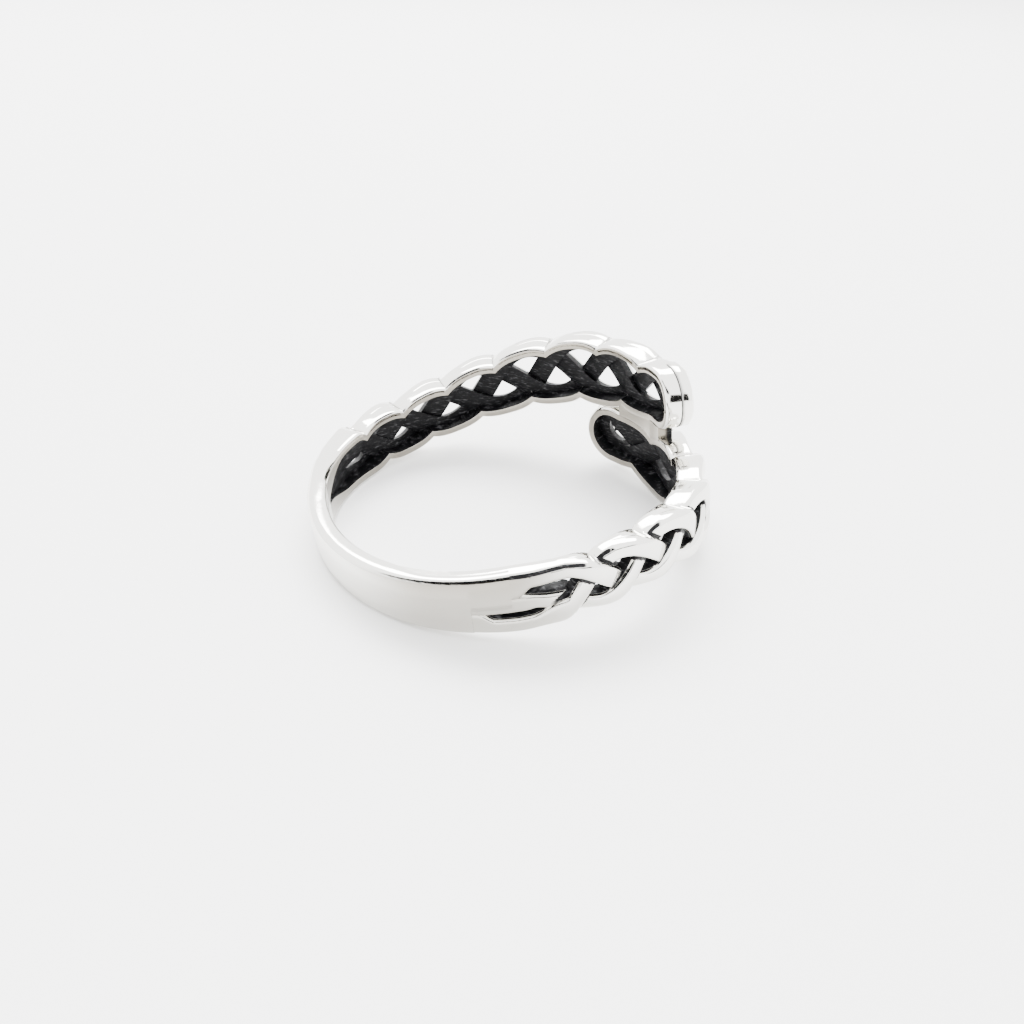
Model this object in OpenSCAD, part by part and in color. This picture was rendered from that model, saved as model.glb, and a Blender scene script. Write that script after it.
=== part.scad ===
// A Celtic knot bypass ring, cast in one piece and lying on its side. Millimetres.
// The plain back of the ring parts into two arms. Each arm is a pierced plait of three flat strands
// over a hollow that is open to the finger, and a raised rim runs round the hollow at the finger side.
// The arms pass each other at the front of the ring, one above and one below, and a short web joins them.
// Angles are measured round the finger from the ring's front, and the back is at 180 degrees.

/* [Finger size] */

// Inner diameter of the ring
inner_d = 17.3; // [14:0.1:23]

/* [Plain back] */

// Outer radius at the middle of the back
back_outer_r = 9.56; // [9.2:0.01:10.2]
// Half width at the middle of the back
back_half = 1.22; // [0.9:0.01:2]
// Bevel along the outer edges of the back
back_bevel = 0.22; // [0.1:0.01:0.4]
// Angle at which the hollow of each arm starts
hollow_start = 154; // [140:1:165]

/* [Upper arm] */

// How far its middle line dips, the angle from which it climbs, and how far it rises
upper_dip = 0.55; // [0:0.01:1]
upper_climbs = 102; // [75:1:110]
upper_rise = 2.03; // [1.5:0.01:2.5]
// Where it is first wide, and half of its width at the scallops' crests there and at its waist
upper_wide_at = 110; // [105:1:125]
upper_wide = 1.57; // [1.2:0.01:2]
upper_waist = 1.57; // [1.2:0.01:2]
// Angle from which it flares again, and half of its width near the front
upper_flare = 110; // [50:1:115]
upper_half = 1.94; // [1.4:0.01:2.2]
// Angles until which it is as thin as the back, and from which it has its full thickness
upper_thin_until = 155; // [90:1:165]
upper_thick_at = 116; // [20:1:140]
// Angle that its rounded end reaches, and that end's radius and height
upper_end = -19; // [-30:0.5:-15]
upper_end_r = 1.66; // [1:0.01:2]
upper_end_z = 2.25; // [1.5:0.01:2.5]
// Angle of the outer edge's notch nearest to the front, and from it to the next
upper_notch = 0.7; // [-9:0.1:9]
upper_pitch = 19.8; // [15:0.1:24]
// Angle at which the strands, side by side, take up the plait
upper_start = 121.6; // [100:0.1:135]
// How long before the plait the outer and the inner strand part from the middle one, and how long
// before it the strands begin to take it up, in degrees
upper_outer_parts = 17; // [8:0.1:25]
upper_inner_parts = 8; // [6:0.1:25]
upper_take_up = 5; // [2:0.5:10]

/* [Lower arm] */

// The same values for the lower arm
lower_dip = 0.38; // [0:0.01:1]
lower_climbs = 80; // [75:1:110]
lower_rise = 1.98; // [1.5:0.01:2.5]
lower_wide_at = 117; // [105:1:125]
lower_wide = 1.62; // [1.2:0.01:2]
lower_waist = 1.45; // [1.2:0.01:2]
lower_flare = 70; // [50:1:115]
lower_half = 2.10; // [1.4:0.01:2.2]
lower_thin_until = 110; // [90:1:165]
lower_thick_at = 38; // [20:1:140]
lower_end = -26.5; // [-30:0.5:-15]
lower_end_r = 1.77; // [1:0.01:2]
lower_end_z = 1.7; // [1.5:0.01:2.5]
lower_notch = -5.3; // [-9:0.1:9]
lower_pitch = 21.6; // [15:0.1:24]
lower_start = 105.9; // [100:0.1:135]
lower_outer_parts = 22.7; // [8:0.1:25]
lower_inner_parts = 11.8; // [6:0.1:25]
lower_take_up = 7; // [2:0.5:10]

/* [Plait] */

// A strand's width across the plait's middle, on its edges, and where the three lie side by side
strand_w = 0.90; // [0.6:0.01:1.3]
strand_w_edge = 0.66; // [0.5:0.01:1.3]
strand_w_back = 0.76; // [0.6:0.01:1.3]
// How much narrower the middle one of them is where it goes under its neighbour
tongue = 0.5; // [0:0.05:0.6]
// A strand's thickness, its edges' bevel, and how much it widens downward where it borders a gap
strand_t = 0.70; // [0.4:0.01:1]
strand_bevel = 0.12; // [0.05:0.01:0.3]
flare = 0.22; // [0:0.01:0.25]
// Middle radius of the strands, and how far they weave out and in from it
weave_r = 9.80; // [9.4:0.01:10]
weave = 0.22; // [0.1:0.01:0.4]
// Depth of a notch between two scallops
notch_depth = 0.33; // [0.1:0.01:0.5]
// How much lower the domed face of an arm is at its edges than along its middle
dome = 0.1; // [0:0.01:0.5]
dome_half = 1.57; // [1.2:0.01:2]

/* [Rim and web] */

// Width of the rim round the hollow, how far its outer face stands in from the strands' edges,
// and the radius that it reaches out to
rim_w = 0.46; // [0.3:0.01:0.8]
rim_in = 0.06; // [0:0.01:0.1]
rim_outer_r = 9.72; // [9.3:0.01:10]
// The angles between which the web joins the arms' rims, and its outer radius
web_from = -11.5; // [-16:0.5:-4]
web_to = 11.5; // [4:0.5:16]
web_outer_r = 9.45; // [9.1:0.01:9.8]

/* [Rest] */

// How the ring leans as it lies on its side, on the back's lower edge and a low point of each arm
lean_x = 0.17; // [-2:0.01:2]
lean_y = -8.77; // [-12:0.01:0]
// Where that puts the ring's centre: over the middle of what it covers, and above what it lies on
centre_x = -0.53; // [-1:0.01:1]
centre_y = -0.25; // [-1:0.01:1]
rest_height = 2.637; // [2:0.001:4]

/* [Hidden] */

inner_r = inner_d / 2;
per_degree = weave_r * PI / 180;
cut = 0.3;
// How far pieces of the casting overlap, or stand in from one another, so that no two faces coincide
lap = 0.06;
step_in = 0.025;
apart = 0.03;

// Columns of an arm: its dip, its climb's start and its rise, its widths and where they lie, its
// thickness's angles, its end's angle, radius and height, its notch, its pitch and its plait's start
DIP = 0; CLIMBS = 1; RISE = 2;
WIDE_AT = 3; WIDE = 4; WAIST = 5; FLARE = 6; HALF = 7;
THIN_UNTIL = 8; THICK_AT = 9;
END = 10; END_R = 11; END_Z = 12;
NOTCH = 13; PITCH = 14; START = 15;
OUTER_PARTS = 16; INNER_PARTS = 17; TAKES_UP = 18;
upper = [upper_dip, upper_climbs, upper_rise,
         upper_wide_at, upper_wide, upper_waist, upper_flare, upper_half,
         upper_thin_until, upper_thick_at,
         upper_end, upper_end_r, upper_end_z,
         upper_notch, upper_pitch, upper_start,
         upper_outer_parts, upper_inner_parts, upper_take_up];
lower = [lower_dip, lower_climbs, lower_rise,
         lower_wide_at, lower_wide, lower_waist, lower_flare, lower_half,
         lower_thin_until, lower_thick_at,
         lower_end, lower_end_r, lower_end_z,
         lower_notch, lower_pitch, lower_start,
         lower_outer_parts, lower_inner_parts, lower_take_up];

// The plait takes this many scallops from its start to the notch at the front: where it starts,
// one strand is on its way to each edge and the third is in the middle
plait_scallops = 6.25;
// Angle over which the strands change from lying side by side to the plait, and how far past the
// plait's start they stay as they lie there before they weave
take_up = 10;
waits = 3;

// Angles at which an arm's middle line starts to dip and has risen fully, and the waist's length
level_until = 160;
risen_angle = 10;
waist_fall = 19;

function ease(u) = (1 - cos(180 * max(0, min(1, u)))) / 2;
function mix(a, b, u) = a + (b - a) * u;

// Angle of the middle of an arm's rounded end
function end_centre(arm) = arm[END] + arm[END_R] / per_degree;

// Height of an arm's middle line at an angle, and how steeply it climbs there
function middle_z(arm, a) =
    a > arm[CLIMBS] ? -arm[DIP] * ease((level_until - a) / (level_until - arm[CLIMBS]))
    : a > risen_angle ? mix(-arm[DIP], arm[RISE], ease((arm[CLIMBS] - a) / (arm[CLIMBS] - risen_angle)))
    : mix(arm[RISE], arm[END_Z], ease((risen_angle - a) / (risen_angle - end_centre(arm))));
function climb(arm, a) = atan2(middle_z(arm, a - 1) - middle_z(arm, a + 1), 2 * per_degree);

// The place of an offset across an arm, as [angle, height]
function across(arm, a, x) =
    [a + x * sin(climb(arm, a)) / per_degree, middle_z(arm, a) + x * cos(climb(arm, a))];

// A point of the ring, from its plan [angle, height] and its radius
function on_ring(p, r) = [r * cos(p[0]), r * sin(p[0]), p[1]];

// Half width at the crests: from the plain back, through the arm, to its rounded end
function half_width(arm, a) =
    a > arm[WIDE_AT] ? mix(back_half, arm[WIDE], pow(max(0, 180 - a) / (180 - arm[WIDE_AT]), 1.5))
    : a > 20 ? mix(mix(arm[WIDE], arm[WAIST], ease((arm[WIDE_AT] - a) / waist_fall)), arm[HALF],
                   ease((arm[FLARE] - a) / (arm[FLARE] - 20)))
    : a > end_centre(arm) ? mix(arm[HALF], arm[END_R], ease((20 - a) / (20 - end_centre(arm))))
    : sqrt(max(0, pow(arm[END_R], 2) - pow((end_centre(arm) - a) * per_degree, 2)));

// How many scallops lie between the front's notch and an angle: whole numbers are the outer edge's notches.
// They stand closer toward the back, so that the plait starts where it should.
function whole(arm) = arm[START] - arm[NOTCH];
function even(arm) = whole(arm) / arm[PITCH];
function scallops(arm, a) =
    let (u = (a - arm[NOTCH]) / whole(arm)) even(arm) * u + (plait_scallops - even(arm)) * u * u;

// The angle that is so many scallops from the front's notch, and the angles at which a strand or rim is
// drawn, down to the rounded end: five to a scallop, so that each notch is close to one of them. Each is
// shifted by its own small part of a scallop, so that no two are drawn at the same angles.
function angle_at(arm, n) =
    let (bend = plait_scallops - even(arm))
    arm[NOTCH] + whole(arm) * (abs(bend) < 0.001 ? n / even(arm)
        : (sqrt(pow(even(arm), 2) + 4 * bend * n) - even(arm)) / (2 * bend));
function stations(arm, from, shift) =
    [let (n0 = floor(scallops(arm, from) * 5), n1 = ceil(scallops(arm, end_centre(arm) + 1) * 5))
        for (n = [n0 : -1 : n1]) angle_at(arm, n / 5 + shift)];

// An edge of the arm, side 1 above and -1 below: arcs that meet in notches until the rounded end
function edge(arm, a, side) =
    let (n = scallops(arm, a) + (side > 0 ? 0 : 0.5), from_crest = abs(n - floor(n) - 0.5) * 2,
         depth = notch_depth * ease((arm[START] + 1 - a) / 6) * ease((a - end_centre(arm)) / 8))
    half_width(arm, a) - depth * pow(from_crest, 2.6);

// Where a strand is in its weave: 90 on the outer edge, 270 on the inner edge
function phase(arm, a, k) = 30 - 120 * scallops(arm, min(a, arm[START] - waits)) + 120 * k;

// The three strands leave the back side by side, in the order in which the plait takes them up
function plaited(arm, a) = ease((arm[START] + arm[TAKES_UP] - a) / take_up);
function rank(arm, k) = round(sin(phase(arm, arm[START], k)));
function parted(arm, a, rank) = ease((arm[START] + arm[rank > 0 ? OUTER_PARTS : INNER_PARTS] - a) / 6);
function side_x(arm, a, rank) =
    rank * mix(strand_w_back - lap, half_width(arm, a) - strand_w_back / 2, parted(arm, a, rank));
function strand_x(arm, a, k) =
    mix(side_x(arm, a, rank(arm, k)), sin(phase(arm, a, k)) * (half_width(arm, a) - strand_w_edge / 2),
        plaited(arm, a));
function strand_r(arm, a, k) =
    outer_r(arm, a) - strand_t / 2 + mix(-0.04, -weave * sin(2 * phase(arm, a, k)), plaited(arm, a));

// Half of a strand's width: the middle strand narrows to a tongue before it goes under its neighbour
function strand_half(arm, a, k) =
    let (tip = rank(arm, k) == 0 ? tongue * ease((arm[START] + 10 - a) / 10) : 0,
         weaving = mix(strand_w, strand_w_edge, pow(sin(phase(arm, a, k)), 2)))
    mix(strand_w_back * (1 - tip), weaving, plaited(arm, a)) / 2;

// A strand's two sides at an angle. On an edge of the arm its outer side keeps to the scallop,
// and stands in a little where it is the lower strand of two or lies under the plate.
function strand_sides(arm, a, k) =
    let (x = strand_x(arm, a, k),
         run = (strand_x(arm, a - 1, k) - strand_x(arm, a + 1, k)) / (2 * per_degree),
         half = strand_half(arm, a, k) * norm([1, run]),
         side = mix(rank(arm, k), sin(phase(arm, a, k)), plaited(arm, a)),
         up = ease((side - 0.36) / 0.12), down = ease((-side - 0.36) / 0.12),
         in = step_in * mix(1, max(0, sin(2 * phase(arm, a, k))), plaited(arm, a)))
    [mix(x - half, in - edge(arm, a, -1), down), mix(x + half, edge(arm, a, 1) - in, up),
     flare * (1 - down), flare * (1 - up)];

// Radius of the outside: thin at the back and thicker toward the front
function outer_r(arm, a) =
    mix(back_outer_r, weave_r + strand_t / 2, ease((arm[THIN_UNTIL] - a) / (arm[THIN_UNTIL] - arm[THICK_AT])));

// One closed skin over a row of sections, each a ring of the same number of points
module skin(sections) {
    n = len(sections);
    m = len(sections[0]);
    polyhedron(
        points = [for (s = sections) each s],
        faces = concat(
            [[for (j = [0 : m - 1]) j]],
            [for (i = [0 : n - 2], j = [0 : m - 1])
                [i * m + j, (i + 1) * m + j, (i + 1) * m + (j + 1) % m, i * m + (j + 1) % m]],
            [[for (j = [m - 1 : -1 : 0]) (n - 1) * m + j]]),
        convexity = 10);
}

module strand(arm, k) {
    skin([for (a = concat(stations(arm, arm[START] + arm[OUTER_PARTS] + 3, (k - 1) * apart), end_centre(arm) - 2 - k))
        let (x = strand_sides(arm, a, k), r = strand_r(arm, a, k),
             bevel = mix(back_bevel, strand_bevel, plaited(arm, a)), low = plaited(arm, a) * dome)
        [for (s = bevelled(x, r + strand_t / 2, bevel, low))
            on_ring(across(arm, a, s[0]), s[1])]]);
}

// A strand's section, from its two sides' offsets and flares, under a face at radius r that is lower
// by so much at the arm's edges
function bevelled(x, r, bevel, low) =
    [for (s = [[x[0] - x[2], -strand_t], [x[0], -bevel], [x[0] + bevel, 0],
               [x[1] - bevel, 0], [x[1], -bevel], [x[1] + x[3], -strand_t]])
        [s[0], r + s[1] - low * pow(s[0] / dome_half, 2)]];

// The rounded end: one strand turns round it and closes the plait
module loop_end(arm) {
    c = end_centre(arm);
    outer = arm[END_R] + step_in;
    skin([for (b = [-18 : 18 : 198])
        [for (s = bevelled([outer - strand_w, outer, flare, 0], weave_r + strand_t / 2, strand_bevel, dome / 2))
            on_ring([c - s[0] * sin(b) / per_degree, middle_z(arm, c) + s[0] * cos(b)], s[1])]]);
}

// The rim runs from the back along the upper edge, round the end and back along the lower edge.
// Each row is [angle, offset] of its outer face and [angle, offset] of its inner face.
function rim_row(arm, a, side) =
    let (x = edge(arm, a, side) - rim_in, inner = mix(0.02, x - rim_w, ease((hollow_start + 2 - a) / 26)))
    [[a, side * x], [a, side * inner]];
function rim_rows(arm) =
    let (c = end_centre(arm), at = stations(arm, hollow_start, 2 * apart), last = len(at) - 1)
    concat(
        [for (a = at) rim_row(arm, a, 1)],
        [for (b = [9 : 18 : 171])
            [for (r = [arm[END_R] - rim_in, arm[END_R] - rim_in - rim_w])
                [c - r * sin(b) / per_degree, r * cos(b)]]],
        [for (i = [last : -1 : 0]) rim_row(arm, at[i], -1)]);

module rim(arm) {
    skin([for (row = rim_rows(arm))
        let (o = across(arm, row[0][0], row[0][1]), i = across(arm, row[1][0], row[1][1]),
             r = min(rim_outer_r, outer_r(arm, row[0][0]) - back_bevel - step_in))
        [on_ring(o, inner_r - cut), on_ring(i, inner_r - cut), on_ring(i, r), on_ring(o, r)]]);
}

module knot_ring() {
    color("silver")
    translate([centre_x, centre_y, rest_height])
    rotate([lean_x, lean_y, 0])
    difference() {
        union() {
            back();
            arm(upper);
            rotate([180, 0, 0]) arm(lower);
            web();
        }
        cylinder(r = inner_r, h = 30, center = true, $fn = 96);
    }
}

// The back, and the plate that goes on from it over the start of each hollow until the strands part:
// past the outer slot's start it covers only the middle and the inner strand
function plate(arm, a) =
    let (first = arm[START] + arm[OUTER_PARTS], h = half_width(arm, a), r = outer_r(arm, a),
         top = a < first ? side_x(arm, a, 0) + strand_w_back / 2 - lap : h,
         foot = mix(inner_r - cut, r - 0.6, ease((hollow_start - a) / 14)))
    [for (s = [[-h, foot], [-h, r - back_bevel], [-h + back_bevel, r],
               [top - back_bevel, r], [top, r - back_bevel], [top, foot]])
        on_ring([a, middle_z(arm, a) + s[0]], s[1])];
function plate_angles(arm) =
    let (first = arm[START] + arm[OUTER_PARTS])
    concat(arm[START] + arm[INNER_PARTS], first - 0.1, [for (i = [0 : 13]) mix(first, 180, i / 14)]);

module back() {
    skin(concat(
        [for (a = plate_angles(lower)) let (p = plate(lower, a))
            [for (j = [5 : -1 : 0]) [p[j][0], -p[j][1], -p[j][2]]]],
        [plate(upper, 180)],
        [let (at = plate_angles(upper)) for (i = [len(at) - 1 : -1 : 0]) plate(upper, at[i])]));
}

module arm(arm) {
    for (k = [0 : 2]) strand(arm, k);
    loop_end(arm);
    rim(arm);
}

// The web reaches from the upper arm's rim to the lower arm's
module web() {
    steps = 12;
    for (i = [0 : steps - 1])
        hull()
            for (a = [mix(web_from, web_to, i / steps), mix(web_from, web_to, (i + 1) / steps)]) web_post(a);
}

module web_post(a) {
    thin = 0.02;
    top = middle_z(upper, a) - edge(upper, a, -1) + rim_w / 2;
    bottom = edge(lower, -a, -1) - middle_z(lower, -a) - rim_w / 2;
    rotate([0, 0, a]) translate([inner_r - cut, -thin / 2, bottom])
        cube([web_outer_r - inner_r + cut, thin, top - bottom]);
}

knot_ring();
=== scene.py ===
"""A Celtic knot bypass ring of cast silver, lying on a white surface in soft studio light.

The ring is drawn in its own frame: the finger's axis is z, the front is toward +x and the back is at 180
degrees. place() then leans and lowers it as it lies. Lengths are millimetres and angles are degrees, and
place() turns the ring's points into metres. The studio and the camera are in metres.

Both arms are drawn as the upper one. An arm's angles fall from 180 at the back to 0 at the front and on
past it, and the lower arm is then turned over about x. Side 1 of an arm is its upper edge as drawn, and
side -1 is its lower edge, so side -1 of the lower arm is the ring's upper edge on the near side.
"""

import math

import bpy
import numpy as np
from mathutils import Matrix, Vector

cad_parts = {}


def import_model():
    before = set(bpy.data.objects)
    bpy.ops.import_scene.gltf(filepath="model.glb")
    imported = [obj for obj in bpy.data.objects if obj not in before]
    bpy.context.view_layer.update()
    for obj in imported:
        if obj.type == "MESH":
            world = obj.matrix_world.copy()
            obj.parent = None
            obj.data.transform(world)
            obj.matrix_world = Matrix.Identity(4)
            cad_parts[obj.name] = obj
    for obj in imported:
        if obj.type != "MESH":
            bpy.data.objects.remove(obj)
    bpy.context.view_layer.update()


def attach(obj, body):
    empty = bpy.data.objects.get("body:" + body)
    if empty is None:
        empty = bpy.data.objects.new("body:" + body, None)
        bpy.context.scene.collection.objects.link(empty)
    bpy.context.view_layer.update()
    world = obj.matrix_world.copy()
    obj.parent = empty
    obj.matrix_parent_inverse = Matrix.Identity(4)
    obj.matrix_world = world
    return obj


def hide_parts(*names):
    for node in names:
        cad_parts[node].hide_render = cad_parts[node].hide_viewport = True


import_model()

# The ring's measures, as in part.scad. First the bore, the plain back and the hollow behind each arm
INNER_R = 8.65
BACK_OUTER_R = 9.56
BACK_HALF = 1.22
BACK_BEVEL = 0.20
BACK_ANGLE = 180
HOLLOW_START = 154

# Each arm:
# dip, rise, end_z: how far its middle line falls after the back, and its heights at the front and the end
# climb_from: where it starts to climb
# wide_at, wide_half, waist_half: where its shank is widest, half that width, and half the width after it
# flare_from, half: where its plait starts to widen, and half its full width
# thin_until, thick_at: the angles between which its outside grows from the back's radius to the plait's
# end, end_r: where its tip lies, and the radius of its rounded end
# notch, pitch: where a notch of side 1 lies at the front, and how long a scallop is there
# start: where its plait starts
# outer_parts, inner_parts, take_up: how far before that the strands part, and where the weave begins
UPPER = dict(
    dip=0.55, rise=2.03, end_z=2.25, climb_from=102,
    wide_at=110, wide_half=1.57, waist_half=1.57, flare_from=110, half=1.94,
    thin_until=155, thick_at=116, end=-19, end_r=1.66,
    notch=0.7, pitch=19.8, start=121.6, outer_parts=17, inner_parts=8, take_up=5,
)
LOWER = dict(
    dip=0.38, rise=1.98, end_z=1.7, climb_from=80,
    wide_at=117, wide_half=1.62, waist_half=1.45, flare_from=70, half=2.10,
    thin_until=110, thick_at=38, end=-26.5, end_r=1.77,
    notch=-5.3, pitch=21.6, start=105.9, outer_parts=22.7, inner_parts=11.8, take_up=7,
)

# Where both arms leave the middle plane, have climbed, and have their full width
LEVEL_UNTIL = 160
RISEN_ANGLE = 10
FULL_WIDTH_ANGLE = 20
# How the shank widens, and over what angle it narrows to its waist
SHANK_CURVE = 1.5
WAIST_FALL = 19

# The weave: its radius, how far a strand rises and falls, and how many scallops a plait has
WEAVE_R = 9.80
WEAVE = 0.18
PLAIT_SCALLOPS = 6.25
PER_DEGREE = WEAVE_R * math.pi / 180
# The angles over which the weave grows and the strands part, and how long the weave's phase waits
TAKE_UP = 10
PARTING = 6
WAITS = 3
# A strand's phase at a notch, and how far each strand's phase is from the next one's
NOTCH_PHASE = 30
THIRD_TURN = 120

# The scalloped edges: the notches' depth and shape, and the angles over which they grow and fade
NOTCH_DEPTH = 0.33
NOTCH_CURVE = 2.6
NOTCH_LEAD = 1
NOTCHES_GROW = 6
NOTCHES_FADE = 8

# The strands: their widths inside the plait, at the plate and on an edge, and their thickness
STRAND_W = 0.90
STRAND_W_BACK = 0.76
STRAND_W_EDGE = 0.66
STRAND_T = 0.70
# How far strands lap each other at the plate, and step in from the edge
LAP = 0.06
STEP_IN = 0.025
# The share of its width that the middle strand loses at its tip, and over what angle
TONGUE = 0.5
TONGUE_TAPER = 10
# How deep the strands lie under the plate, and how far they and the end's loop run on out of sight
UNDER_PLATE = 0.015
UNDER_PLATE_RAMP = 4
OVERRUN = 3
LOOP_OVERRUN = 18
# From what share of its swing a strand lies on an edge, and over what share it gets there
ON_EDGE_FROM = 0.36
ON_EDGE_OVER = 0.12
# How far the faces fall away across an arm
DOME = 0.10
DOME_HALF = 1.57

# A strand's section: how its corners are softened inside the plait and on an edge, and how flat that is
STRAND_EDGE = 0.13
WALL_EDGE = 0.12
BEVELLED = 0.8
# Where in the plait the back's wider bevel starts to take over, and over what angle
SHANK_BEVEL_FROM, SHANK_BEVEL_GROWS = 6, 8
# The walls flare out toward the foot, from a corner at this depth, or lower on an edge
FLARE = 0.22
FLARE_AT_CORNER = 0.25
CORNER_DEPTH = 0.2
EDGE_CORNER_DEPTH = 0.45
# How far the middles of the face and the underside stand out, and how all else is rounded
CROWN = 0.03
BELLY = 0.02
ROUND_CROWN, ROUND_LOOP, ROUND_FOOT, ROUND_WALL, ROUND_BELLY = 0.4, 0.2, 0.05, 0.04, 0.01

# The rim round each hollow: its width, how far it steps in from the edge, its top and its bevel
RIM_W = 0.46
RIM_IN = 0.006
RIM_OUTER_R = 9.72
RIM_BEVEL = 0.11
RIM_CORNER = 0.4
ROUND_RIM_TOP = 0.02
# Where its inner line starts near the middle, and how it spreads to the edge
RIM_START_X = 0.02
RIM_LEAD = 2
RIM_GROWS = 26
# The small gaps between its sides and its rounded end, which the skin bridges
RIM_STOPS = 0.2
RIM_END_GAP = 4

# The web that joins the arms, and how its stain starts below its outside
WEB_FROM = -11.5
WEB_TO = 11.5
WEB_OUTER_R = 9.45
ROUND_WEB_BORE = 0.02
WEB_STAIN, WEB_STAIN_FADE = 0.25, 0.2

# The plates that go on from the back over the start of each hollow: their thickness, the step where the
# lower part stops, their crown, and the angle over which the hollow deepens behind them
PLATE_T = 0.6
PLATE_STEP = 0.1
PLATE_CROWN = 0.05
PLATE_CROWN_GROWS = 20
ROUND_PLATE = 0.5
HOLLOW_DEEPENS = 14

# How finely the skins are drawn: stations a scallop, round an end, along the back and along the web
PER_SCALLOP = 40
LOOP_STATIONS = 90
RIM_END_STATIONS = 60
TONGUE_STATIONS = 30
BACK_STATIONS = 120
WEB_STATIONS = 60

# The darkening is this oxide stain, with painted shade beside crossing strands and painted dark reflections
# on bevels added to it
# The stain, from 0 to 1. It begins at a depth below the faces in the gaps, above a strand's underside
# and above a plate's, and each fades in over its own depth
GAP_DEPTH, GAP_FADE = 0.15, 0.06
UNDER_RISE, UNDER_FADE = 0.09, 0.07
FOOT_STAIN, FOOT_FADE = 0.08, 0.06
# How a drawn line begins below a face, and the depth from which a wall on an edge is clear of crevices
LINE_EDGE, LINE_FADE = 0.02, 0.06
WALL_CLEARS = 0.1
# On the lower arm's upper bevel this dark line is a painted reflection
# A bevel's dark line: how far below the face it starts, its share of the bevel, and its reach inward
BEVEL_TOP, BEVEL_SHARE, BEVEL_REACH = 0.015, 0.93, 0.15
# How dark each drawn line is (the near bevel's line is a painted dark reflection), and how dark a face is
# that takes the darkened material
NOTCH_DARK = 0.62
NEAR_REFLECTION_DARK = 0.85
BORE_LINE_DARK = 0.8
MOSTLY_DARK = 0.55
# The painted shade, from 0 to 1: how far below a face it lies, and how it fades
OUTWARD_DEPTH, OUTWARD_FADE = 0.12, 0.1
BORE_FADE = 0.02
# Faces that meet at more than this stay sharp
SHARP_ANGLE = 38

# How the ring lies
LEAN_X = 0.17
LEAN_Y = -8.77
CENTRE = (-0.53, -0.25, 2.637)
METRE = 0.001

# The studio
STUDIO_LIGHT = 4.6
DARK_SHARE = 0.997
KEY_AT = (0.086, 0.213, 0.328)
KEY_SIZE = (0.36, 0.22)
KEY_POWER = 4.4
FLOOR_REACH = 2
FLOOR_COLOUR = (0.96, 0.96, 0.955)
FLOOR_ROUGHNESS = 0.6

# The camera, in the ring's own frame: where it stands, and its right, its up and where it looks
CAMERA_AT = (-18.684, -37.117, 28.536)
CAMERA_AXES = ((0.85324, -0.51345, -0.09139), (0.36857, 0.46968, 0.80222), (0.36898, 0.71816, -0.59000))
SENSOR = 36
PICTURE_PIXELS = 1024
FOCAL_PIXELS = 1004
NEAREST_SEEN = 0.001

# The metals' colours: polished, the warm grey of the painted shade, blackened, and blackened but rubbed
POLISHED = (0.80, 0.788, 0.745, 1)
PAINTED_SHADE_GREY = (0.26, 0.24, 0.205, 1)
OXIDE = (0.003, 0.003, 0.0035, 1)
RUBBED = (0.06, 0.06, 0.063, 1)


def ease(u):
    """A smooth step from 0 to 1 while u goes from 0 to 1."""
    return (1 - np.cos(np.pi * np.clip(u, 0, 1))) / 2


def past(value, start, over):
    """A smooth step from 0 at a start to 1 where the value is so far over it."""
    return ease((value - start) / over)


def before(value, end, over):
    """A smooth step from 0 at an end to 1 where the value is so far under it."""
    return ease((end - value) / over)


def mix(a, b, u):
    return a + (b - a) * u


def sin(degrees):
    return np.sin(np.radians(degrees))


def cos(degrees):
    return np.cos(np.radians(degrees))


def end_centre(arm):
    """Angle of the middle of an arm's rounded end."""
    return arm["end"] + arm["end_r"] / PER_DEGREE


def middle_z(arm, a):
    """Height of an arm's middle line at an angle."""
    dip, rise, foot = -arm["dip"], arm["rise"], arm["climb_from"]
    level = dip * before(a, LEVEL_UNTIL, LEVEL_UNTIL - foot)
    climbing = mix(dip, rise, before(a, foot, foot - RISEN_ANGLE))
    risen = mix(rise, arm["end_z"], before(a, RISEN_ANGLE, RISEN_ANGLE - end_centre(arm)))
    return np.where(a > foot, level, np.where(a > RISEN_ANGLE, climbing, risen))


def climb(arm, a):
    """How steeply an arm's middle line climbs toward the front, taken over one degree either way."""
    return np.degrees(np.arctan2(middle_z(arm, a - 1) - middle_z(arm, a + 1), 2 * PER_DEGREE))


def across(arm, a, x):
    """The place of an offset across an arm, as an angle and a height."""
    c = climb(arm, a)
    return a + x * sin(c) / PER_DEGREE, middle_z(arm, a) + x * cos(c)


def half_width(arm, a):
    """Half width at the crests: from the plain back, through the arm, to its rounded end."""
    e = end_centre(arm)
    wide_at, full, flare_from = arm["wide_at"], FULL_WIDTH_ANGLE, arm["flare_from"]
    along = np.maximum(0, BACK_ANGLE - a) / (BACK_ANGLE - wide_at)
    back = mix(BACK_HALF, arm["wide_half"], along**SHANK_CURVE)
    waist = mix(arm["wide_half"], arm["waist_half"], before(a, wide_at, WAIST_FALL))
    body = mix(waist, arm["half"], before(a, flare_from, flare_from - full))
    front = mix(arm["half"], arm["end_r"], before(a, full, full - e))
    end = np.sqrt(np.maximum(0, arm["end_r"] ** 2 - ((e - a) * PER_DEGREE) ** 2))
    return np.where(a > wide_at, back, np.where(a > full, body, np.where(a > e, front, end)))


def scallops(arm, a):
    """How many scallops lie between the front's notch and an angle. They shorten evenly to the back."""
    whole = arm["start"] - arm["notch"]
    u, even = (a - arm["notch"]) / whole, whole / arm["pitch"]
    return even * u + (PLAIT_SCALLOPS - even) * u * u


def angle_at(arm, n):
    """The angle that so many scallops reach."""
    whole = arm["start"] - arm["notch"]
    even = whole / arm["pitch"]
    bend = PLAIT_SCALLOPS - even
    return arm["notch"] + whole * (np.sqrt(even**2 + 4 * bend * n) - even) / (2 * bend)


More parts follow.
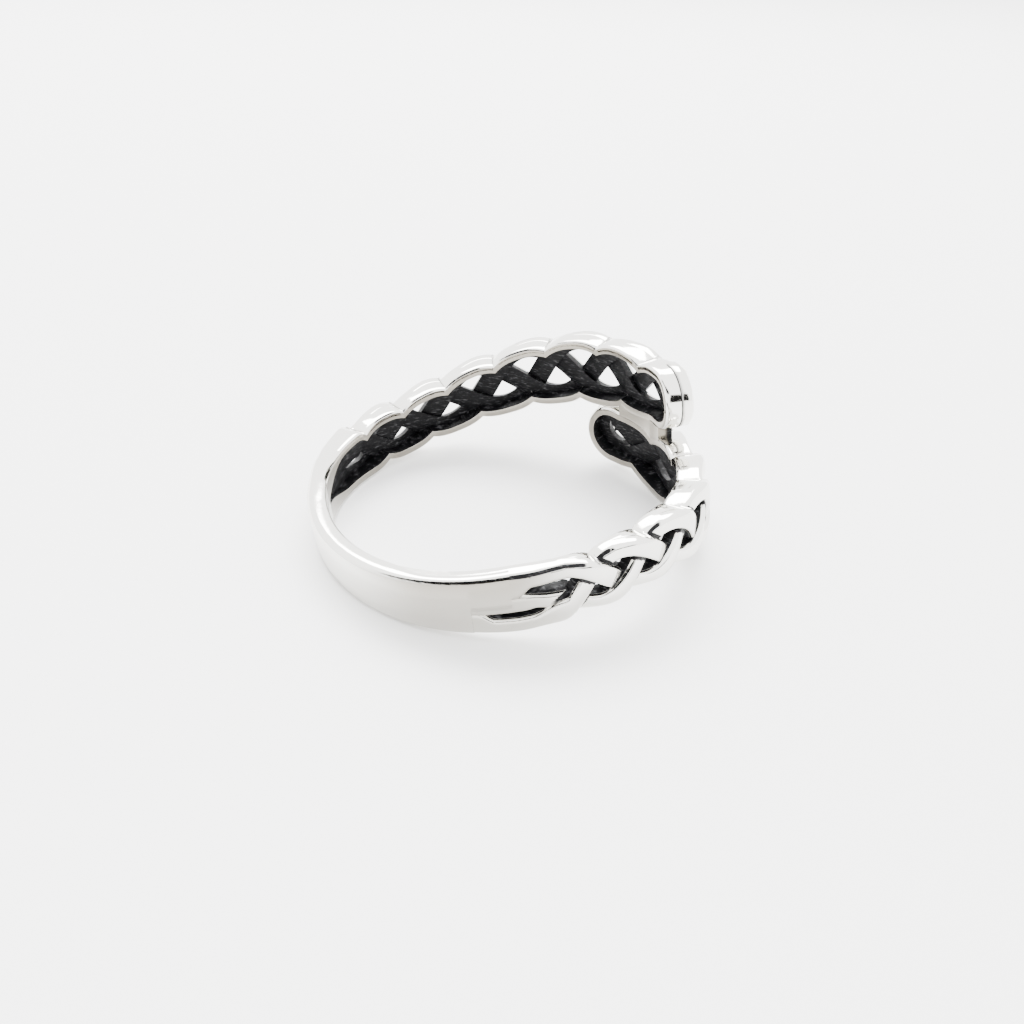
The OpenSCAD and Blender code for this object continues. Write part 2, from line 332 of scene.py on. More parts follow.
def stations(arm, start, stop, per_scallop):
    """Angles from start down to stop, evenly among the scallops, each notch one of them."""
    n0 = math.floor(float(scallops(arm, start)) * per_scallop)
    n1 = math.ceil(float(scallops(arm, stop)) * per_scallop)
    return angle_at(arm, np.arange(n0, n1 - 1, -1) / per_scallop)


def notch_count(arm, a, side):
    """Scallops counted along one edge, so that each of its notches has a whole number."""
    return scallops(arm, a) + (0 if side > 0 else 0.5)


def edge(arm, a, side):
    """How far an edge is from the middle: arcs that meet in notches until the rounded end."""
    n = notch_count(arm, a, side)
    from_crest = np.abs(n - np.floor(n) - 0.5) * 2
    grown = before(a, arm["start"] + NOTCH_LEAD, NOTCHES_GROW)
    depth = NOTCH_DEPTH * grown * past(a, end_centre(arm), NOTCHES_FADE)
    return half_width(arm, a) - depth * from_crest**NOTCH_CURVE


def from_notch(arm, a, side):
    """How many scallops an angle is from the nearest notch of an edge."""
    n = notch_count(arm, a, side)
    return np.abs(n - np.round(n))


def notch_line(arm, a, side):
    """The dark line that runs across the arm's side wall at each notch."""
    half_line, line_fade, beyond_start, before_end = 0.01, 0.03, 2, 4
    plaits = (a < arm["start"] + beyond_start) & (a > end_centre(arm) + before_end)
    return NOTCH_DARK * (1 - past(from_notch(arm, a, side), half_line, line_fade)) * plaits


def outer_r(arm, a):
    """Radius of the outside: thin at the back and thicker toward the front."""
    thick = before(a, arm["thin_until"], arm["thin_until"] - arm["thick_at"])
    return mix(BACK_OUTER_R, WEAVE_R + STRAND_T / 2, thick)


def phase(arm, a, k):
    """Where a strand is in its weave: 90 on the edge of side 1, 270 on the edge of side -1."""
    return NOTCH_PHASE - THIRD_TURN * scallops(arm, np.minimum(a, arm["start"] - WAITS)) + THIRD_TURN * k


def plaited(arm, a):
    """How far the weave has grown, from 0 under the plate to 1 in the plait."""
    return before(a, arm["start"] + arm["take_up"], TAKE_UP)


def rank_of(arm, k):
    """The side that a strand comes from at the plate: 1, 0 for the middle one, or -1."""
    return round(float(sin(phase(arm, arm["start"], k))))


def parts_at(arm, rank):
    """The angle where a strand parts from the plate."""
    return arm["start"] + arm["outer_parts" if rank > 0 else "inner_parts"]


def side_x(arm, a, rank):
    """A strand's offset before the weave: side by side under the plate, then spread to the edges."""
    apart = before(a, parts_at(arm, rank), PARTING)
    return rank * mix(STRAND_W_BACK - LAP, half_width(arm, a) - STRAND_W_BACK / 2, apart)


def strand_x(arm, a, k):
    """A strand's offset across its arm."""
    weaving = sin(phase(arm, a, k)) * (half_width(arm, a) - STRAND_W_EDGE / 2)
    return mix(side_x(arm, a, rank_of(arm, k)), weaving, plaited(arm, a))


def strand_top(arm, a, k):
    """The radius of a strand's face. It goes over and under twice while it swings across and back."""
    weaving = -WEAVE * sin(2 * phase(arm, a, k))
    ramp_from = parts_at(arm, rank_of(arm, k)) - UNDER_PLATE_RAMP
    under_plate = -UNDER_PLATE * past(a, ramp_from, UNDER_PLATE_RAMP)
    return outer_r(arm, a) + mix(under_plate, weaving, plaited(arm, a))


def strand_sides(arm, a, k):
    """A strand's two sides, and how far each lies on an edge of the arm."""
    x = strand_x(arm, a, k)
    run = (strand_x(arm, a - 1, k) - strand_x(arm, a + 1, k)) / (2 * PER_DEGREE)
    weaving_w = mix(STRAND_W, STRAND_W_EDGE, sin(phase(arm, a, k)) ** 2)
    rank = rank_of(arm, k)
    tip = 0 if rank else TONGUE * before(a, arm["start"] + TONGUE_TAPER, TONGUE_TAPER)
    half = mix(STRAND_W_BACK * (1 - tip), weaving_w, plaited(arm, a)) / 2 * np.sqrt(1 + run**2)
    side = mix(rank, sin(phase(arm, a, k)), plaited(arm, a))
    up, down = past(side, ON_EDGE_FROM, ON_EDGE_OVER), past(-side, ON_EDGE_FROM, ON_EDGE_OVER)
    low = STEP_IN * mix(1, np.maximum(0, sin(2 * phase(arm, a, k))), plaited(arm, a))
    x0 = mix(x - half, low - edge(arm, a, -1), down)
    x1 = mix(x + half, edge(arm, a, 1) - low, up)
    return x0, x1, down, up


def ring_axes():
    """The ring's own axes in the row frame, as it lies."""
    x, y = math.radians(LEAN_X), math.radians(LEAN_Y)
    about_x = np.array([[1, 0, 0], [0, math.cos(x), -math.sin(x)], [0, math.sin(x), math.cos(x)]])
    about_y = np.array([[math.cos(y), 0, math.sin(y)], [0, 1, 0], [-math.sin(y), 0, math.cos(y)]])
    return about_y @ about_x


def place(points):
    """Points of the ring's frame in millimetres, as points of the row frame in metres."""
    return (np.asarray(points) @ ring_axes().T + np.array(CENTRE)) * METRE


def on_ring(angle, z, r, turned):
    """Points from their plan and radius. The lower arm is turned over about x."""
    p = np.stack([r * cos(angle), r * sin(angle), z + 0 * r], -1)
    return p * np.array([1, -1, -1]) if turned else p


class Skin:
    """Gathers closed skins, each over a grid of sections, and the darkening and painted shade of every
    point.
    """

    def __init__(self):
        self.points, self.faces, self.dark, self.tone, self.count = [], [], [], [], 0

    def add(self, sections, dark, tone=0.0):
        """Adds a tube of sections with a face at each end. Darkening and painted shade are one number or
        one a point.
        """
        n, m = sections.shape[:2]
        i, j = np.meshgrid(np.arange(n - 1), np.arange(m), indexing="ij")
        k = (j + 1) % m
        quads = np.stack([i * m + j, (i + 1) * m + j, (i + 1) * m + k, i * m + k], -1).reshape(-1, 4)
        base = self.count
        self.faces += (quads + base).tolist()
        self.faces.append([base + q for q in range(m)])
        self.faces.append([base + (n - 1) * m + q for q in range(m - 1, -1, -1)])
        self.points.append(place(sections.reshape(-1, 3)))
        self.dark.append(np.broadcast_to(dark, (n, m)).reshape(-1))
        self.tone.append(np.broadcast_to(tone, (n, m)).reshape(-1))
        self.count += n * m

    def build(self, name, materials):
        """Makes the one mesh. A face that is mostly darkened, whether by oxide, painted shade or painted
        reflection, takes the second material.
        """
        mesh = bpy.data.meshes.new(name)
        mesh.from_pydata(np.concatenate(self.points).tolist(), [], self.faces)
        dark, tone = np.concatenate(self.dark), np.concatenate(self.tone)
        for attribute, values in (("dark", dark), ("tone", tone)):
            stored = mesh.attributes.new(attribute, "FLOAT", "POINT")
            stored.data.foreach_set("value", values.astype(np.float32))
        for material in materials:
            mesh.materials.append(material)
        slots = [1 if np.mean(dark[face]) > MOSTLY_DARK else 0 for face in self.faces]
        mesh.polygons.foreach_set("material_index", slots)
        mesh.validate()
        mesh.shade_smooth()
        mesh.set_sharp_from_angle(angle=math.radians(SHARP_ANGLE))
        obj = bpy.data.objects.new(name, mesh)
        bpy.context.scene.collection.objects.link(obj)
        return obj


def rounded(corners, segments=4):
    """A section's points from its corners [across, radius, rounding, flatness] over the stations.

    A flatness of 0 rounds a corner off, and 1 bevels it. Segments are given for each corner or for all.
    A rounding takes less than half of the side that it cuts into."""
    most_of_side, no_length = 0.48, 1e-6
    out = []
    count = len(corners)
    each = segments if isinstance(segments, tuple) else (segments,) * count
    for i, (x, r, size, *flatness) in enumerate(corners):
        flat = np.asarray(flatness[0])[..., None] if flatness else 0
        size = np.asarray(size)[..., None]
        here = np.stack(np.broadcast_arrays(x, r), -1)
        to = []
        for other in (corners[i - 1], corners[(i + 1) % count]):
            d = np.stack(np.broadcast_arrays(other[0], other[1]), -1) - here
            length = np.linalg.norm(d, axis=-1, keepdims=True)
            to.append(here + d / np.maximum(length, no_length) * np.minimum(size, length * most_of_side))
        for t in np.linspace(0, 1, each[i] + 1) if each[i] else [0.5]:
            curve = (1 - t) ** 2 * to[0] + 2 * t * (1 - t) * here + t**2 * to[1]
            out.append(mix(curve, mix(to[0], to[1], t), flat))
    return np.stack(out, 1)


def over_all(shape, corners):
    """Corners whose every value is given over all stations."""
    return [[np.broadcast_to(np.asarray(value, float), shape) for value in corner] for corner in corners]


def crevice(arm, a, k, x, r):
    """How dark a strand's point is beside or under a strand that crosses over it: partly oxide, partly
    painted shade that the crossing strand casts.
    """
    covers_by, covers_over, reach, fade = 0.05, 0.12, 0.24, 0.1
    dark = np.zeros_like(x)
    for other in range(3):
        if other == k:
            continue
        x0, x1, _, _ = strand_sides(arm, a, other)
        top = strand_top(arm, a, other)[:, None]
        outside = np.maximum(x0[:, None] - x, x - x1[:, None])
        over = past(top - r, covers_by, covers_over)
        dark = np.maximum(dark, over * (1 - past(outside, reach, fade)) * plaited(arm, a)[:, None])
    return dark


def painted_bevel_reflection(arm, a):
    """The lower arm's painted dark reflection along its upper bevel: over the first scallop and where
    others start.
    """
    if arm is UPPER:
        return 0 * a
    line_starts, start_fade, line_ends, end_fade = 124, 8, 6.12, 0.15
    first_notch, mark_ends, mark_fade, mark_starts, notch_fade = 6, 0.62, 0.12, 0.99, 0.02
    last_mark, last_fade = 56, 8
    n = notch_count(arm, a, -1)
    part = n - np.floor(n)
    line = past(n, line_ends, end_fade) * before(a, line_starts, start_fade)
    mark = past(part, mark_ends, mark_fade) * before(part, mark_starts, notch_fade)
    marks = mark * past(a, last_mark, last_fade)
    return NEAR_REFLECTION_DARK * np.where(n > first_notch, line, marks)


def near_shade(arm, a, x):
    """Painted shade on the lower arm's start: a warm grey, most of all along its upper edge before the
    plait.
    """
    if arm is UPPER:
        return 0 * x
    tone_at_foot = 0.45
    starts, grows, ends, fades = 172, 34, 92, 26
    from_top = 0.5 + x / (2 * half_width(arm, a)[:, None])
    along = before(a, starts, grows) * past(a, ends, fades)
    return along[:, None] * mix(1.0, tone_at_foot, from_top)


def strand(skin, arm, k, turned):
    """One strand of an arm, from under its plate to its rounded end.

    Its section goes round from side -1: foot, wall corner, edge of the face, crown, and back down."""
    a = stations(arm, parts_at(arm, 1) + OVERRUN, end_centre(arm) - OVERRUN, PER_SCALLOP)
    x0, x1, down, up = strand_sides(arm, a, k)
    top = strand_top(arm, a, k)
    fall = plaited(arm, a) * DOME
    shank = past(a - arm["start"], -SHANK_BEVEL_FROM, SHANK_BEVEL_GROWS)
    soft0, soft1 = (mix(mix(STRAND_EDGE, WALL_EDGE, on), BACK_BEVEL, shank) for on in (down, up))
    # The painted dark reflection on the lower arm's upper bevel; the bevel is widened where it is drawn
    line = painted_bevel_reflection(arm, a)
    soft0 = mix(soft0, BACK_BEVEL, line * down)
    wall0, wall1 = (mix(CORNER_DEPTH, EDGE_CORNER_DEPTH, on) for on in (down, up))
    flare0, flare1 = FLARE * (1 - down), FLARE * (1 - up)
    middle, bottom = (x0 + x1) / 2, top - STRAND_T
    crown = CROWN * plaited(arm, a)

    def face(x):
        return top - fall * (x / DOME_HALF) ** 2

    corners = [
        (x0 - flare0, bottom, ROUND_FOOT, 0),
        (x0 - flare0 * FLARE_AT_CORNER, face(x0) - wall0, ROUND_WALL, 0),
        (x0, face(x0), soft0, BEVELLED * down),
        (middle, face(middle) + crown, ROUND_CROWN, 0),
        (x1, face(x1), soft1, BEVELLED * up),
        (x1 + flare1 * FLARE_AT_CORNER, face(x1) - wall1, ROUND_WALL, 0),
        (x1 + flare1, bottom, ROUND_FOOT, 0),
        (middle, bottom - BELLY, ROUND_BELLY, 0),
    ]
    s = rounded(over_all(a.shape, corners), (2, 1, 4, 4, 4, 1, 2, 0))
    x, r = s[..., 0], s[..., 1]
    angle, z = across(arm, a[:, None], x)
    depth = top[:, None] - fall[:, None] * (x / DOME_HALF) ** 2 - r

    beyond_middle = x > middle[:, None]
    on_edge = np.where(beyond_middle, up[:, None], down[:, None])
    in_gap = past(depth, GAP_DEPTH, GAP_FADE) * (1 - on_edge)
    under = past(depth, STRAND_T - UNDER_RISE, UNDER_FADE)
    lines = np.where(beyond_middle, notch_line(arm, a, 1)[:, None], notch_line(arm, a, -1)[:, None])
    wall_line = lines * on_edge * past(depth, LINE_EDGE, LINE_FADE)
    # Beside a crossing strand the darkening is oxide with painted shade
    beside = crevice(arm, a, k, x, r) * (1 - on_edge * past(depth, 0, WALL_CLEARS))
    # The painted dark reflection lies on the bevel, from just below the face
    bevel_foot = soft0[:, None] * BEVEL_SHARE
    within = past(depth, BEVEL_TOP, LINE_EDGE) * before(depth, bevel_foot, LINE_EDGE)
    on_bevel = (line * down)[:, None] * within * (x < x0[:, None] + BEVEL_REACH)
    dark = np.maximum.reduce([in_gap, under, wall_line, beside, on_bevel])
    # The painted shade lies on the face, down to a small depth below it
    outward = before(depth, OUTWARD_DEPTH, OUTWARD_FADE)
    skin.add(on_ring(angle, z, r, turned), dark, near_shade(arm, a, x) * outward)


def loop_end(skin, arm, turned):
    """One strand turns round the arm's end and closes the plait."""
    c, outer, top = end_centre(arm), arm["end_r"] + STEP_IN, WEAVE_R + STRAND_T / 2
    b = np.linspace(-LOOP_OVERRUN, 180 + LOOP_OVERRUN, LOOP_STATIONS)
    inner, bottom, fall = outer - STRAND_W, top - STRAND_T, DOME / 2
    middle = (inner + outer) / 2
    face0, face1 = (top - fall * (x / DOME_HALF) ** 2 for x in (inner, outer))
    corners = [
        (inner - FLARE, bottom, ROUND_FOOT, 0),
        (inner - FLARE * FLARE_AT_CORNER, face0 - CORNER_DEPTH, ROUND_WALL, 0),
        (inner, face0, STRAND_EDGE, 0),
        (middle, top, ROUND_LOOP, 0),
        (outer, face1, WALL_EDGE, BEVELLED),
        (outer, bottom, ROUND_FOOT, 0),
        (middle, bottom - BELLY, ROUND_BELLY, 0),
    ]
    s = rounded(over_all(b.shape, corners), (2, 1, 4, 2, 4, 2, 0))
    x, r = s[..., 0], s[..., 1]
    angle = c - x * sin(b)[:, None] / PER_DEGREE
    z = middle_z(arm, np.array(c)) + x * cos(b)[:, None]
    depth = top - r
    in_gap = past(depth, GAP_DEPTH, GAP_FADE) * (x < middle)
    under = past(depth, STRAND_T - UNDER_RISE, UNDER_FADE)
    skin.add(on_ring(angle, z, r, turned), np.maximum(in_gap, under))


def rim_side(arm, side):
    """The rim along one edge, from the back to the rounded end: its outer and inner line in plan, the
    radius that it reaches, its dark notch lines, and the dark line along the crests of its bore bevel."""
    a = stations(arm, HOLLOW_START, end_centre(arm) + RIM_STOPS, PER_SCALLOP)
    outer_x = edge(arm, a, side) - RIM_IN
    inner_x = mix(RIM_START_X, outer_x - RIM_W, before(a, HOLLOW_START + RIM_LEAD, RIM_GROWS))
    top = np.minimum(RIM_OUTER_R, outer_r(arm, a) - WEAVE * plaited(arm, a) - BACK_BEVEL - STEP_IN)
    outer, inner = (np.stack(across(arm, a, side * x), -1) for x in (outer_x, inner_x))
    notch_clears, crest_fade = 0.12, 0.2
    line_ends, end_fade, line_starts, start_fade = 20, 20, 118, 8
    crest = past(from_notch(arm, a, side), notch_clears, crest_fade)
    bore_line = BORE_LINE_DARK * crest * past(a, line_ends, end_fade) * before(a, line_starts, start_fade)
    return outer, inner, top, notch_line(arm, a, side), bore_line


def rim_end(arm, radius, b):
    """The rim's line in plan round the rounded end."""
    c = end_centre(arm)
    return np.stack([c - radius * sin(b) / PER_DEGREE, middle_z(arm, np.array(c)) + radius * cos(b)], -1)


def rim(skin, arm, turned):
    """The rim round the hollow, from the back along one edge, round the end and back along the other.

    The line along its bore bevel is drawn on side 1 of the upper arm alone."""
    b = np.linspace(RIM_END_GAP, 180 - RIM_END_GAP, RIM_END_STATIONS)
    end_outer = arm["end_r"] - RIM_IN
    none = np.zeros(b.shape)
    outer1, inner1, top1, notches1, bore_line1 = rim_side(arm, 1)
    outer2, inner2, top2, notches2, _ = rim_side(arm, -1)
    outer = np.concatenate([outer1, rim_end(arm, end_outer, b), outer2[::-1]])
    inner = np.concatenate([inner1, rim_end(arm, end_outer - RIM_W, b), inner2[::-1]])
    top = np.concatenate([top1, np.full(b.shape, RIM_OUTER_R), top2[::-1]])
    notches = np.concatenate([notches1, none, notches2[::-1]])[:, None]
    bore_line = np.concatenate([bore_line1, none, np.zeros(top2.shape)])[:, None] * (not turned)
    corners = [
        (0, INNER_R, RIM_BEVEL, BEVELLED),
        (RIM_W, INNER_R, ROUND_FOOT, 0),
        (RIM_W, top, ROUND_RIM_TOP, 0),
        (0, top, ROUND_RIM_TOP, 0),
        (0, INNER_R + RIM_CORNER, ROUND_FOOT, 0),
    ]
    s = rounded(over_all(top.shape, corners), (6, 3, 2, 2, 1))
    w, r = s[..., 0] / RIM_W, s[..., 1]
    plan = mix(outer[:, None], inner[:, None], w[..., None])

    # w goes from 0 at the rim's outer side to 1 at the hollow, and r from the bore to the rim's top
    outer_part, outer_fade, inner_part, inner_fade = 0.3, 0.2, 0.1, 0.2
    hollow_part, hollow_fade = 0.93, 0.05
    below_bevel, below_top, stain_fade, bevel_margin = 0.03, 0.06, 0.05, 0.01
    hollow_side = past(w, hollow_part, hollow_fade)
    above_bevel = past(r - INNER_R - RIM_BEVEL, -below_bevel, stain_fade)
    crease = notches * before(w, outer_part, outer_fade) * above_bevel
    on_top = past(r - top[:, None], -below_top, stain_fade) * past(w, inner_part, inner_fade)
    bevel_top = INNER_R + RIM_BEVEL - bevel_margin
    in_bevel = past(r - INNER_R, BEVEL_TOP, LINE_EDGE) * before(r, bevel_top, LINE_EDGE)
    on_bevel = in_bevel * (w < outer_part)
    dark = np.maximum.reduce([hollow_side, crease, on_top, bore_line * on_bevel])
    # The bore face takes the painted shade
    on_bore = before(r, INNER_R + BORE_FADE, BORE_FADE)
    skin.add(on_ring(plan[..., 0], plan[..., 1], r, turned), dark, on_bore)


def plate_section(arm, a, turned):
    """The back, and the plate that goes on from it: points, darkening and painted shade at each of the
    angles.
    """
    first = parts_at(arm, 1)
    h, r = half_width(arm, a), outer_r(arm, a)
    top = np.where(a < first, side_x(arm, a, 0) + STRAND_W_BACK / 2 - LAP, h)
    hollow = before(a, HOLLOW_START, HOLLOW_DEEPENS)
    foot = mix(INNER_R, r - PLATE_T, hollow)
    middle = (top - h) / 2
    crown = PLATE_CROWN * past(a, first, PLATE_CROWN_GROWS)
    corners = [
        (-h, foot, RIM_BEVEL, BEVELLED),
        (-h, r, BACK_BEVEL, BEVELLED),
        (middle, r + crown, ROUND_PLATE, 0),
        (top, r, BACK_BEVEL, BEVELLED),
        (top, foot, RIM_BEVEL, BEVELLED),
        (middle, foot, ROUND_PLATE, 0),
    ]
    s = rounded(over_all(a.shape, corners))
    z = middle_z(arm, a)[:, None] + s[..., 0]
    dark = hollow[:, None] * before(s[..., 1], foot[:, None] + FOOT_STAIN, FOOT_FADE)
    # The painted shade lies on the plate's outer face
    outward = past(s[..., 1] - r[:, None], -OUTWARD_DEPTH, OUTWARD_FADE)
    tone = near_shade(arm, a, s[..., 0]) * outward
    return on_ring(a[:, None] + 0 * z, z, s[..., 1], turned), dark, tone


def back(skin):
    """The plain back with both plates, as one skin from the lower arm's plate to the upper arm's.

    The lower arm's sections are mirror images of the upper one's, so their points are put in its order."""
    sections = []
    for arm, turned in ((LOWER, True), (UPPER, False)):
        first = parts_at(arm, 1)
        tongue = np.linspace(parts_at(arm, -1), first - PLATE_STEP, TONGUE_STATIONS)
        a = np.concatenate([tongue, np.linspace(first, BACK_ANGLE, BACK_STATIONS)])
        parts = plate_section(arm, a, turned)
        if turned:
            m = parts[0].shape[1]
            mirror = (m // 6 * 5 - 1 - np.arange(m)) % m
            sections.append([part[:-1, mirror] for part in parts])
        else:
            sections.append([part[::-1] for part in parts])
    points, dark, tone = (np.concatenate([parts[i] for parts in sections]) for i in range(3))
    skin.add(points, dark, tone)


def web(skin):
    """The web between the rims where the arms pass each other."""
    a = np.linspace(WEB_FROM, WEB_TO, WEB_STATIONS)
    top = middle_z(UPPER, a) - edge(UPPER, a, -1) + RIM_W / 2
    bottom = edge(LOWER, -a, -1) - middle_z(LOWER, -a) - RIM_W / 2
    corners = [
        (bottom, INNER_R, ROUND_WEB_BORE),
        (bottom, WEB_OUTER_R, ROUND_FOOT),
        (top, WEB_OUTER_R, ROUND_FOOT),
        (top, INNER_R, ROUND_WEB_BORE),
    ]
    s = rounded(over_all(a.shape, corners), 2)
    z, r = s[..., 0], s[..., 1]
    dark = past(r - WEB_OUTER_R, -WEB_STAIN, WEB_STAIN_FADE)
    # The whole web takes the painted shade
    skin.add(on_ring(a[:, None] + 0 * z, z, r, False), dark, np.ones_like(r))


class Graph:
    """Adds nodes to a material's or the world's tree. A value is a number, a colour or an output."""

    def __init__(self, tree):
        self.nodes, self.links = tree.nodes, tree.links

    def feed(self, socket, value):
        if isinstance(value, bpy.types.NodeSocket):
            self.links.new(value, socket)
        else:
            socket.default_value = value

    def attribute(self, name):
        node = self.nodes.new("ShaderNodeAttribute")
        node.attribute_name = name
        return node.outputs["Fac"]

    def noise(self, coords, scale, detail, rough, squeeze=None):
        """Noise of so many features a metre, or more of them along an axis that is squeezed."""
        if squeeze:
            mapping = self.nodes.new("ShaderNodeMapping")
            mapping.inputs["Scale"].default_value = squeeze
            self.links.new(coords, mapping.inputs["Vector"])
            coords = mapping.outputs["Vector"]
        node = self.nodes.new("ShaderNodeTexNoise")
        for socket, value in (("Scale", scale), ("Detail", detail), ("Roughness", rough)):
            node.inputs[socket].default_value = value
        self.links.new(coords, node.inputs["Vector"])
        return node.outputs["Fac"]

    def ramp(self, source, low, high, at_low=0.0, at_high=1.0):
        """A smooth step from one value to another while the source goes from low to high."""
        node = self.nodes.new("ShaderNodeMapRange")
        node.interpolation_type = "SMOOTHSTEP"
        ends = (("From Min", low), ("From Max", high), ("To Min", at_low), ("To Max", at_high))
        for socket, value in ends:
            node.inputs[socket].default_value = value
        self.links.new(source, node.inputs["Value"])
        return node.outputs["Result"]

    def math(self, operation, a, b):
        node = self.nodes.new("ShaderNodeMath")
        node.operation = operation
        for i, value in enumerate((a, b)):
            self.feed(node.inputs[i], value)
        return node.outputs["Value"]

    def mix_colours(self, factor, a, b):
        node = self.nodes.new("ShaderNodeMix")
        node.data_type = "RGBA"
        self.links.new(factor, node.inputs["Factor"])
        first_colour, second_colour, colour_out = 6, 7, 2
        self.feed(node.inputs[first_colour], a)
        self.feed(node.inputs[second_colour], b)
        return node.outputs[colour_out]

    def facing(self, direction, azimuth, elevation, none_at, whole_at):
        """How nearly a direction is this one: not at all, or wholly, at so many degrees from it."""
        node = self.nodes.new("ShaderNodeVectorMath")
        node.operation = "DOT_PRODUCT"
        toward = (cos(azimuth) * cos(elevation), sin(azimuth) * cos(elevation), sin(elevation))
        node.inputs[1].default_value = tuple(float(v) for v in toward)
        self.links.new(direction, node.inputs[0])
        return self.ramp(node.outputs["Value"], float(cos(none_at)), float(cos(whole_at)))


def new_material(name):
    material = bpy.data.materials.new(name)
    material.use_nodes = True
    return material, material.node_tree.nodes["Principled BSDF"]


def silver(name, dark_side):
    """Polished silver darkened by oxide in its recesses, by painted shade and painted dark reflections, and
    toward a warm grey by painted shade. dark_side is the material of the darkened faces themselves.
    """
    material, shader = new_material(name)
    graph = Graph(material.node_tree)
    coords = graph.nodes.new("ShaderNodeTexCoord").outputs["Object"]

    # The border of the darkening (oxide, painted shade and painted dark reflections) wavers, and the
    # darkening is rubbed thin in streaks
    cloud = graph.noise(coords, scale=900, detail=4, rough=0.6)
    grain = graph.noise(coords, scale=4200, detail=3, rough=0.6)
    wobble = graph.math("MULTIPLY", graph.math("ADD", cloud, -0.5), 0.35)
    oxide_and_painted_dark = graph.ramp(graph.math("ADD", graph.attribute("dark"), wobble), low=0.35, high=0.75)
    smears = graph.noise(coords, scale=2200, detail=4, rough=0.7, squeeze=(1, 1, 5))
    recess = graph.mix_colours(graph.ramp(smears, low=0.52, high=0.72), OXIDE, RUBBED)
    # The painted shade darkens the polished metal toward a warm grey
    metal = graph.mix_colours(graph.attribute("tone"), POLISHED, PAINTED_SHADE_GREY)
    shader.inputs["Base Color"].default_value = OXIDE if dark_side else POLISHED
    graph.links.new(graph.mix_colours(oxide_and_painted_dark, metal, recess), shader.inputs["Base Color"])

    shader.inputs["Metallic"].default_value = 0.0 if dark_side else 1.0
    metallic = graph.ramp(oxide_and_painted_dark, low=0.2, high=0.8, at_low=1.0, at_high=0.0)
    graph.links.new(metallic, shader.inputs["Metallic"])
    shader.inputs["Specular IOR Level"].default_value = 0.1
    shine = graph.ramp(oxide_and_painted_dark, low=0, high=1, at_low=0.07, at_high=0.40)
    dulling = graph.ramp(grain, low=0.3, high=0.7, at_low=0.0, at_high=0.05)
    shader.inputs["Roughness"].default_value = 0.42 if dark_side else 0.10
    graph.links.new(graph.math("ADD", shine, dulling), shader.inputs["Roughness"])

    scratches = graph.noise(coords, scale=1500, detail=2, rough=0.5, squeeze=(1, 1, 9))
    bump = graph.nodes.new("ShaderNodeBump")
    bump.inputs["Strength"].default_value = 0.55 if dark_side else 0.06
    bump.inputs["Distance"].default_value = 0.00006
    graph.links.new(graph.math("ADD", scratches, cloud), bump.inputs["Height"])
    graph.links.new(bump.outputs["Normal"], shader.inputs["Normal"])
    return material


def knot_ring():
    """The whole ring, as one mesh."""
    skin = Skin()
    back(skin)
    web(skin)
    for arm, turned in ((UPPER, False), (LOWER, True)):
        for k in range(3):
            strand(skin, arm, k, turned)
        loop_end(skin, arm, turned)
        rim(skin, arm, turned)
    materials = [silver("polished_silver", False), silver("darkened_silver", True)]
    return skin.build("celtic_knot_ring", materials)


def white_floor():
    """The white surface that the ring lies on."""
    mesh = bpy.data.meshes.new("floor")
    corners = [(x * FLOOR_REACH, y * FLOOR_REACH, 0) for x, y in ((-1, -1), (1, -1), (1, 1), (-1, 1))]
    mesh.from_pydata(corners, [], [(0, 1, 2, 3)])
    obj = bpy.data.objects.new("floor", mesh)
    bpy.context.scene.collection.objects.link(obj)
    material, shader = new_material("white_floor")
    shader.inputs["Base Color"].default_value = (*FLOOR_COLOUR, 1)
    shader.inputs["Roughness"].default_value = FLOOR_ROUGHNESS
    mesh.materials.append(material)
    return obj


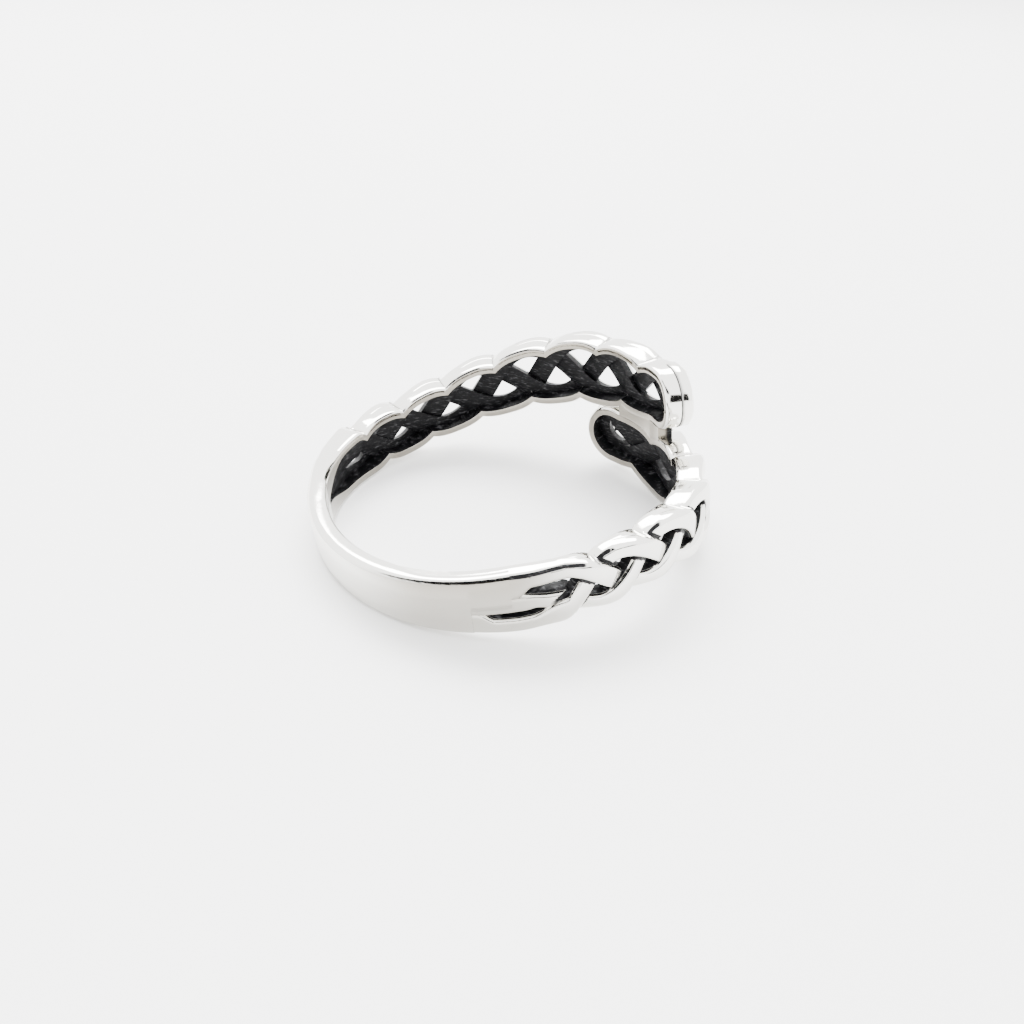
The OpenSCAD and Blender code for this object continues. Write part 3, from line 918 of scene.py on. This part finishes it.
def white_studio():
    """The studio is white all round but for two dark parts that the metal mirrors: a band to the left of
    the camera, at about its height, and a spot low on its right."""
    world = bpy.data.worlds.new("studio")
    world.use_nodes = True
    graph = Graph(world.node_tree)
    background = graph.nodes["Background"]
    background.inputs["Color"].default_value = (1, 1, 1, 1)
    background.inputs["Strength"].default_value = STUDIO_LIGHT
    direction = graph.nodes.new("ShaderNodeTexCoord").outputs["Generated"]
    above = graph.facing(direction, azimuth=0, elevation=90, none_at=66, whole_at=60)
    overhead = graph.facing(direction, azimuth=0, elevation=90, none_at=38, whole_at=32)
    left = graph.facing(direction, azimuth=-156, elevation=0, none_at=58, whole_at=50)
    band = graph.math("MULTIPLY", above, graph.math("SUBTRACT", 1.0, overhead))
    band = graph.math("MULTIPLY", band, left)
    spot = graph.facing(direction, azimuth=-91, elevation=5, none_at=22, whole_at=17)
    dark = graph.math("MULTIPLY", graph.math("MAXIMUM", band, spot), STUDIO_LIGHT * DARK_SHARE)
    graph.links.new(graph.math("SUBTRACT", STUDIO_LIGHT, dark), background.inputs["Strength"])
    bpy.context.scene.world = world


def key_light():
    """One soft light above the ring's far side."""
    light = bpy.data.lights.new("soft_key", "AREA")
    light.shape = "RECTANGLE"
    light.size, light.size_y = KEY_SIZE
    light.energy = KEY_POWER
    obj = bpy.data.objects.new("soft_key", light)
    obj.location = KEY_AT
    obj.rotation_euler = (-Vector(KEY_AT)).to_track_quat("-Z", "Y").to_euler()
    bpy.context.scene.collection.objects.link(obj)


def camera():
    """The camera stands where the photograph's did."""
    data = bpy.data.cameras.new("camera")
    data.sensor_width = SENSOR
    data.lens = SENSOR * FOCAL_PIXELS / PICTURE_PIXELS
    data.clip_start = NEAREST_SEEN
    right, up, forward = (ring_axes() @ np.array(axis) for axis in CAMERA_AXES)
    turn = Matrix([[right[i], up[i], -forward[i]] for i in range(3)])
    obj = bpy.data.objects.new("camera", data)
    obj.matrix_world = Matrix.Translation(Vector(place([CAMERA_AT])[0])) @ turn.to_4x4()
    bpy.context.scene.collection.objects.link(obj)
    return obj


ring = knot_ring()
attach(ring, "root")
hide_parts("knot_ring")

floor = white_floor()
white_studio()
key_light()
bpy.context.scene.camera = camera()
